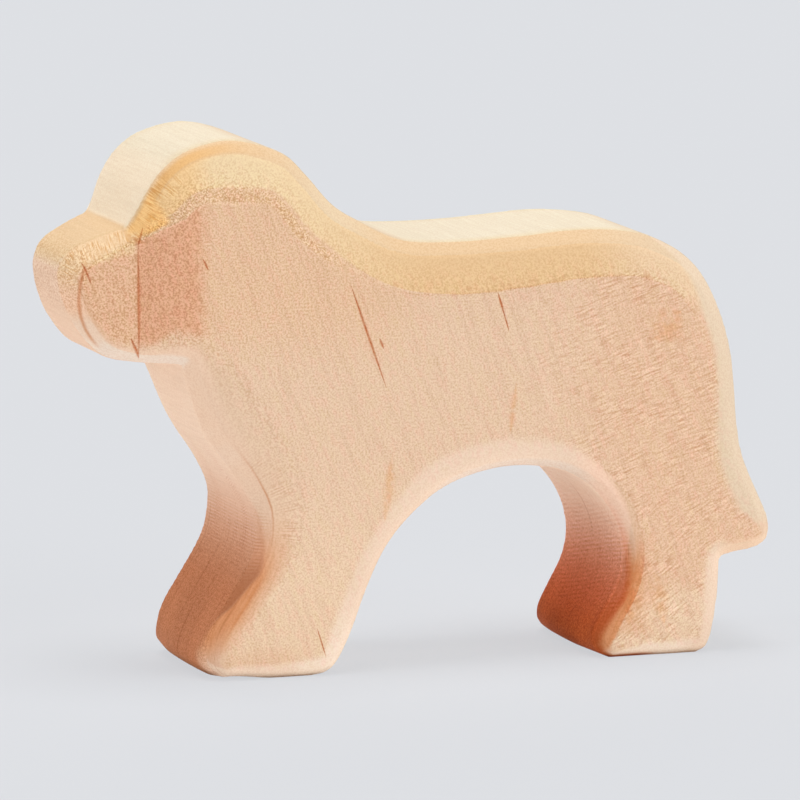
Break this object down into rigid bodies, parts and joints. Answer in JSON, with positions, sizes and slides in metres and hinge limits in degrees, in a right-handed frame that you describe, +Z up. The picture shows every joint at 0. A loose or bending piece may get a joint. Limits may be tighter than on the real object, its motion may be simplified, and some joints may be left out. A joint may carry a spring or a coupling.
{
  "type": "wooden dog figure",
  "caption": "Standing dog figure sawn from a single board of pale hardwood, its edges chamfered by sanding, with flat soles to stand on.",
  "frame": {"origin": "on the ground, under the middle of the figure's box", "axes": "+X from the nose to the tail, +Y through the thickness of the board towards the dog's right side, +Z up"},
  "size_m": [0.112, 0.03, 0.082],
  "materials": {
    "pale_wood": "bare sanded hardwood, fine pores, no paint or lacquer"
  },
  "bodies": {
    "root": {"dog_figure": "pale_wood"}
  },
  "joints": []
}
